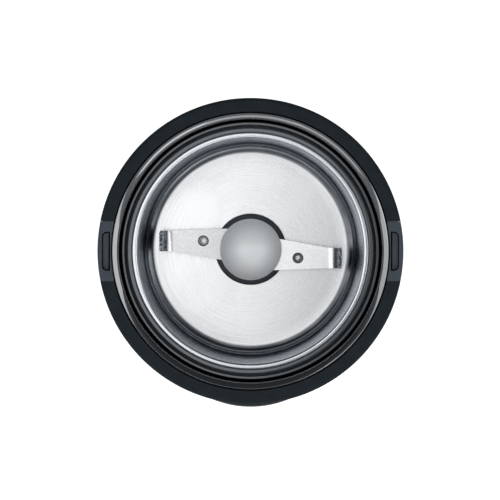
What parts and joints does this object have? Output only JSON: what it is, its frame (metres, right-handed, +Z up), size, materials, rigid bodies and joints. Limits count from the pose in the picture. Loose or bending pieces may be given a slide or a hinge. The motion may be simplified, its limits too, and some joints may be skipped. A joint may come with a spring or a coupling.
{
  "type": "electric spice grinder",
  "caption": "Round electric spice grinder with a lift-out steel cup, a bent-tip spinning blade, a front start button and side lid interlocks; lid off.",
  "frame": {"origin": "on the grinder's axis, in the plane that the rubber foot ring stands on", "axes": "+Z up the axis, -Y towards the start button, +X to its right seen from above with the button at the bottom"},
  "size_m": [0.114, 0.1174, 0.168],
  "materials": {
    "housing_plastic": "fine matt moulded grain",
    "collar_plastic": "coarse matt moulded grain",
    "gloss_black": "polished",
    "insert_plastic": "smooth satin",
    "button_plastic": "polished",
    "sleeve_plastic": "satin gloss",
    "base_plastic": "matt moulded grain",
    "rubber": "matt",
    "screw_steel": "zinc plated",
    "lamination_steel": "laminated edge",
    "copper": "enamelled wire",
    "commutator_copper": "turned",
    "bracket_steel": "pressed and zinc plated",
    "bronze": "sintered, oiled",
    "phenolic": "moulded phenolic",
    "carbon": "pressed carbon",
    "board": "solder resist",
    "board_parts": "mixed small components",
    "switch_plastic": "moulded",
    "plunger_plastic": "moulded",
    "spring_steel": "drawn wire",
    "shaft_steel": "ground",
    "fan_plastic": "moulded",
    "dog_plastic": "glass filled nylon",
    "bowl_steel": "brushed in circles",
    "bearing_plastic": "moulded",
    "gasket": "matt silicone",
    "seal_plastic": "satin",
    "blade_steel": "ground stainless steel",
    "cap_plastic": "translucent satin"
  },
  "bodies": {
    "base": {"housing": "housing_plastic", "collar": "collar_plastic", "cup_well": "gloss_black", "lock_insert_left": "insert_plastic", "lock_insert_right": "insert_plastic", "base_plate": "base_plastic", "base_screws": "screw_steel", "foot_ring": "rubber", "cord_gland": "rubber", "cord_clamp": "base_plastic", "stator_core": "lamination_steel", "field_coils": "copper", "upper_bracket": "bracket_steel", "lower_bracket": "bracket_steel", "upper_bush": "bronze", "lower_bush": "bronze", "brush_holders": "phenolic", "carbon_brushes": "carbon", "motor_screws": "screw_steel", "motor_grommets": "rubber", "mount_screws": "screw_steel", "circuit_board": "board", "board_components": "board_parts", "interlock_switches": "switch_plastic", "start_switch": "switch_plastic", "rod_spring_left": "spring_steel", "rod_spring_right": "spring_steel", "button_spring": "spring_steel"},
    "rotor": {"motor_shaft": "shaft_steel", "armature_core": "lamination_steel", "armature_windings": "copper", "commutator": "commutator_copper", "cooling_fan": "fan_plastic", "drive_dog": "dog_plastic"},
    "cup": {"steel_bowl": "bowl_steel", "cup_sleeve": "sleeve_plastic", "cup_bearing": "bearing_plastic", "cup_bush": "bronze", "cup_screws": "screw_steel", "bowl_gasket": "gasket", "hub_seal": "seal_plastic"},
    "cutter": {"blade": "blade_steel", "hub_cap": "cap_plastic", "blade_spindle": "shaft_steel", "blade_nut": "screw_steel", "driven_dog": "dog_plastic"},
    "lock_left": {"interlock_rod_left": "insert_plastic", "switch_plunger_left": "plunger_plastic"},
    "lock_right": {"interlock_rod_right": "insert_plastic", "switch_plunger_right": "plunger_plastic"},
    "start": {"start_button": "button_plastic", "start_plunger": "plunger_plastic"}
  },
  "joints": [
    {"name": "motor_spin", "type": "hinge", "parent": "base", "child": "rotor", "pos_m": [0, 0, 0.05], "axis": [0, 0, 1], "continuous": true},
    {"name": "cup_lift", "type": "slide", "parent": "base", "child": "cup", "axis": [0, 0, 1], "range_m": [0, 0.08]},
    {"name": "cutter_spin", "type": "hinge", "parent": "cup", "child": "cutter", "pos_m": [0, 0, 0.11], "axis": [0, 0, 1], "continuous": true},
    {"name": "lock_left_press", "type": "slide", "parent": "base", "child": "lock_left", "axis": [0, 0, -1], "range_m": [0, 0.0035], "stiffness_N_per_m": 300, "springref_m": -0.001, "deforming": ["rod_spring_left"]},
    {"name": "lock_right_press", "type": "slide", "parent": "base", "child": "lock_right", "axis": [0, 0, -1], "range_m": [0, 0.0035], "stiffness_N_per_m": 300, "springref_m": -0.001, "deforming": ["rod_spring_right"]},
    {"name": "start_press", "type": "slide", "parent": "base", "child": "start", "axis": [0, 1, 0], "range_m": [0, 0.002], "stiffness_N_per_m": 500, "springref_m": -0.001, "deforming": ["button_spring"]}
  ],
  "couplings": [
    {"joint": "cutter_spin", "follows": "motor_spin", "ratio": 1}
  ]
}
